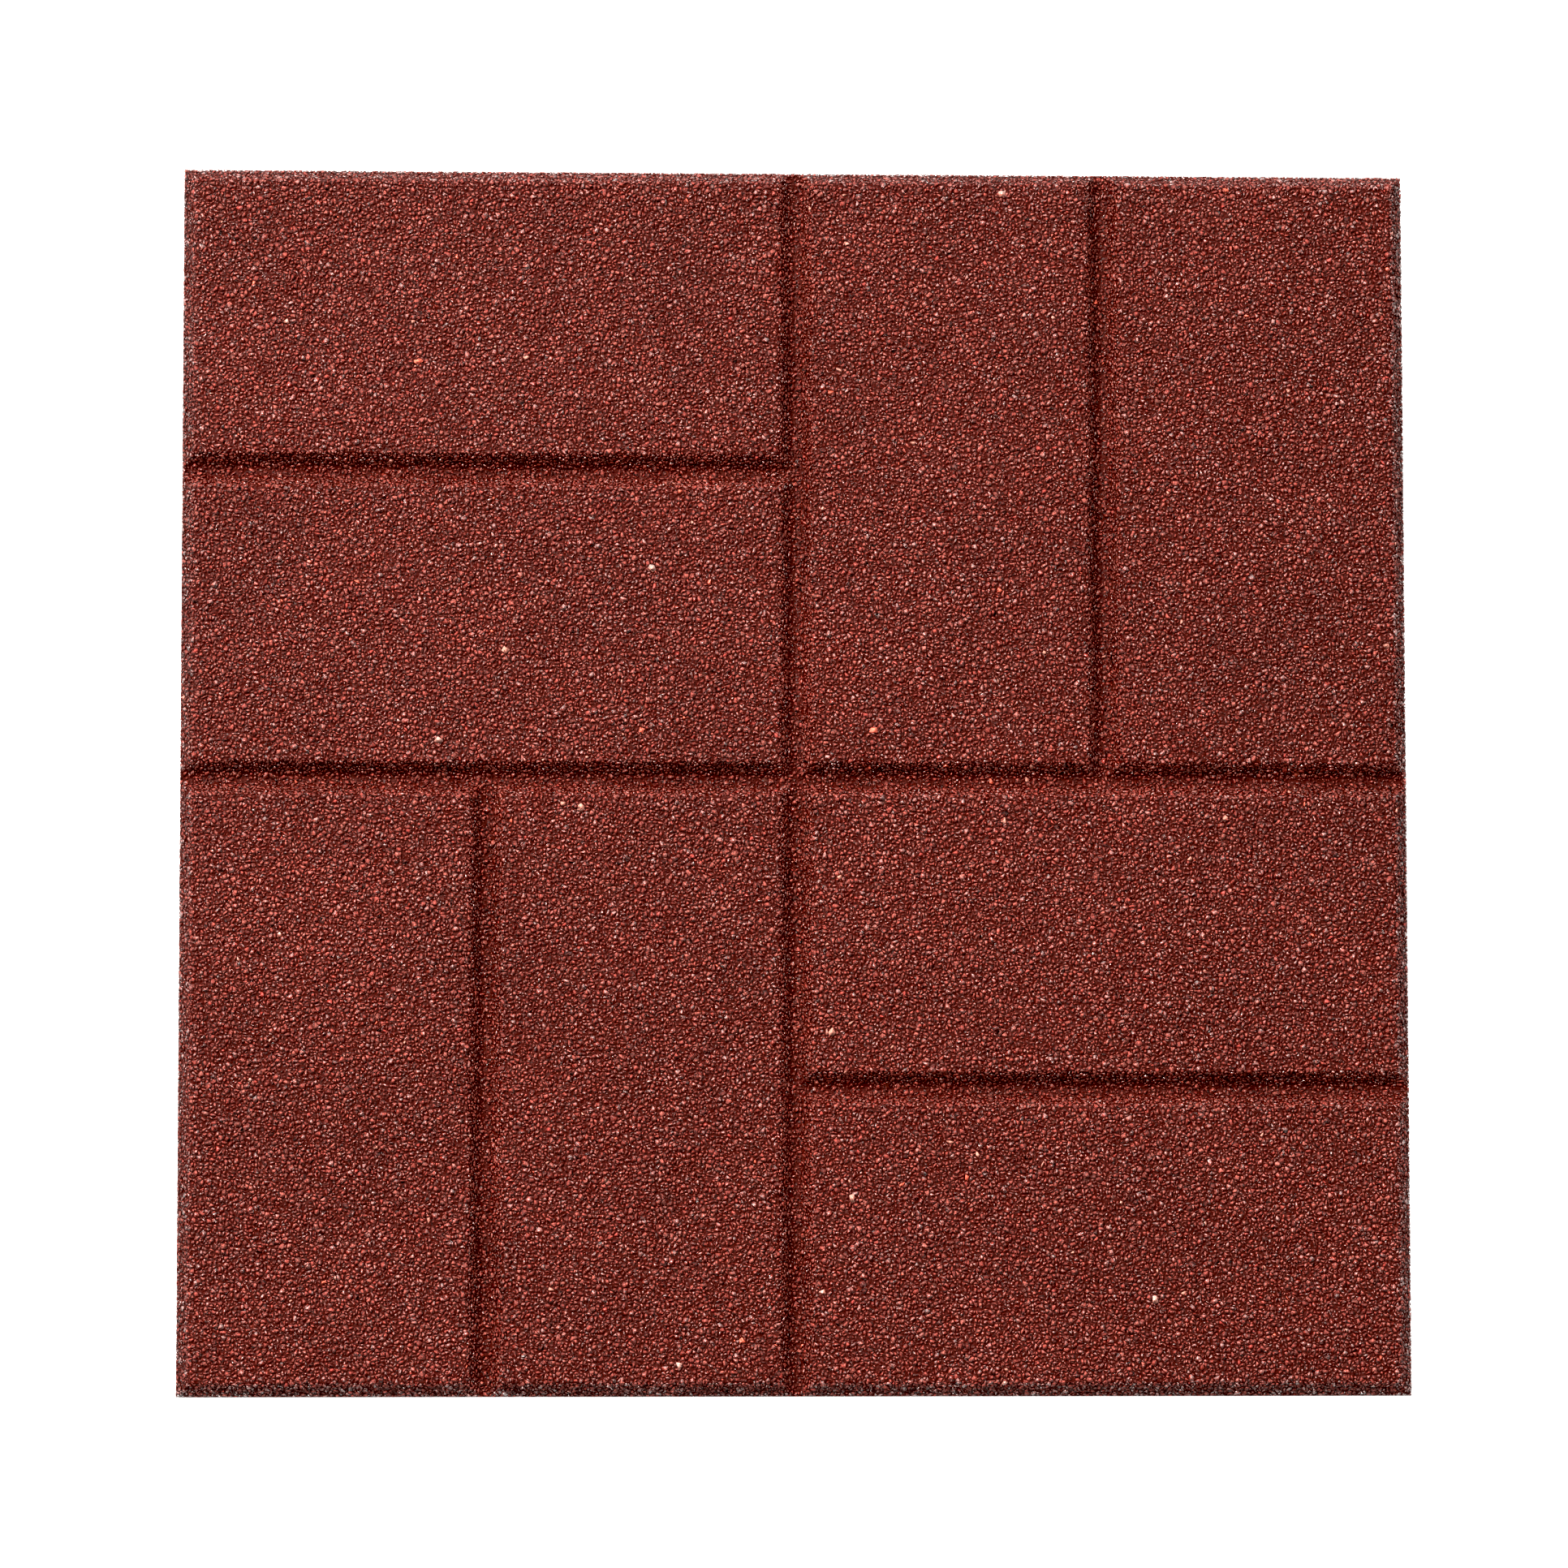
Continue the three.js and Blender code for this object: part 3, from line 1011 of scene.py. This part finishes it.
def light_way(azimuth, height):
    """The direction towards a light, from its angle left of the +Y side and its angle above the floor."""
    flat = math.cos(height)
    return Vector((-math.sin(azimuth) * flat, math.cos(azimuth) * flat, math.sin(height)))


def add_key():
    """The softbox, turned to the paver."""
    s = studio()
    lamp = bpy.data.lights.new("key_softbox", "AREA")
    lamp.shape = "SQUARE"
    lamp.size = s.key_size
    lamp.energy = s.key_power
    lamp.color = s.light_colour
    light = bpy.data.objects.new("key_softbox", lamp)
    bpy.context.scene.collection.objects.link(light)
    way = light_way(s.key_azimuth, s.key_height)
    light.location = way * s.key_distance
    light.rotation_euler = way.to_track_quat("Z", "Y").to_euler()


def add_room():
    """The white room, brightly lit on one side, with light that falls off smoothly to the other."""
    s = studio()
    room = bpy.data.worlds.new("room")
    room.use_nodes = True
    tree = room.node_tree
    place = add_node(tree, "ShaderNodeTexCoord").outputs["Generated"]
    bright = tuple(light_way(s.room_azimuth, s.room_height))
    facing = add_node(tree, "ShaderNodeVectorMath", [(0, place), (1, bright)],
                      operation="DOT_PRODUCT").outputs["Value"]
    power = combined(tree, "MULTIPLY", combined(tree, "SUBTRACT", facing, 1.0), s.room_focus)
    falloff = add_node(tree, "ShaderNodeMath", [(0, power)], operation="EXPONENT").outputs[0]
    back = tree.nodes["Background"]
    back.inputs["Color"].default_value = (*s.light_colour, 1)
    tree.links.new(combined(tree, "MULTIPLY", falloff, s.room_light), back.inputs["Strength"])
    bpy.context.scene.world = room


def add_floor():
    """The white studio floor."""
    s = studio()
    half = s.floor_size / 2
    mesh = bpy.data.meshes.new("studio_floor")
    corners = [(-half, -half, 0), (half, -half, 0), (half, half, 0), (-half, half, 0)]
    mesh.from_pydata(corners, [], [(0, 1, 2, 3)])
    floor = bpy.data.objects.new("studio_floor", mesh)
    bpy.context.scene.collection.objects.link(floor)
    paint = bpy.data.materials.new("studio_floor")
    paint.use_nodes = True
    shader = paint.node_tree.nodes["Principled BSDF"]
    shader.inputs["Base Color"].default_value = (*s.floor_colour, 1.0)
    shader.inputs["Roughness"].default_value = 0.9
    shader.inputs["Emission Color"].default_value = (1, 1, 1, 1)
    seen = add_node(paint.node_tree, "ShaderNodeLightPath").outputs["Is Camera Ray"]
    glow = combined(paint.node_tree, "MULTIPLY", seen, s.floor_glow)
    paint.node_tree.links.new(glow, shader.inputs["Emission Strength"])
    mesh.materials.append(paint)


class PAVER_OT_studio(bpy.types.Operator):
    """Sets up the camera, the floor and the light"""

    bl_idname = "paver.studio"
    bl_label = "Studio"

    def execute(self, context):
        s, scene = studio(), context.scene
        scene.view_settings.view_transform = "Standard"
        scene.view_settings.use_curve_mapping = True
        scene.view_settings.curve_mapping.black_level = (s.black_level,) * 3
        camera = bpy.data.objects.new("camera", bpy.data.cameras.new("camera"))
        scene.collection.objects.link(camera)
        camera.location = s.camera_place
        camera.rotation_euler = Euler(s.camera_turn)
        camera.data.lens = s.lens
        camera.data.sensor_width = 36.0
        camera.data.clip_end = 50.0
        scene.camera = camera
        add_floor()
        add_key()
        add_room()
        return {"FINISHED"}


class PAVER_PT_panel(bpy.types.Panel):
    """Lists the paver's sizes, colours and makers"""

    bl_label = "Crumb Rubber Paver"
    bl_idname = "PAVER_PT_panel"
    bl_space_type = "VIEW_3D"
    bl_region_type = "UI"
    bl_category = "Paver"

    def draw(self, context):
        layout = self.layout
        titles = ("Form", "Crumbs", "Colours", "Studio")
        for title, group in zip(titles, (form(), grading(), colours(), studio())):
            box = layout.box()
            box.label(text=title)
            for name in group.bl_rna.properties.keys():
                if name not in ("rna_type", "name"):
                    box.prop(group, name)
        for operator in OPERATORS:
            layout.operator(operator.bl_idname)


GROUPS = {"paver_form": PaverForm, "crumb_grading": CrumbGrading,
          "crumb_colours": CrumbColours, "paver_studio": PaverStudio}
OPERATORS = (PAVER_OT_studio, PAVER_OT_binder_bed, PAVER_OT_brick_crumbs)


def register():
    for cls in (*GROUPS.values(), *OPERATORS, PAVER_PT_panel):
        bpy.utils.register_class(cls)
    for name, group in GROUPS.items():
        setattr(bpy.types.Scene, name, PointerProperty(type=group))


def unregister():
    for name in GROUPS:
        delattr(bpy.types.Scene, name)
    for cls in (PAVER_PT_panel, *reversed(OPERATORS), *reversed(GROUPS.values())):
        bpy.utils.unregister_class(cls)


def main():
    register()
    bpy.ops.paver.studio()
    bpy.ops.paver.binder_bed()
    bpy.ops.paver.brick_crumbs()


if __name__ == "__main__":
    main()
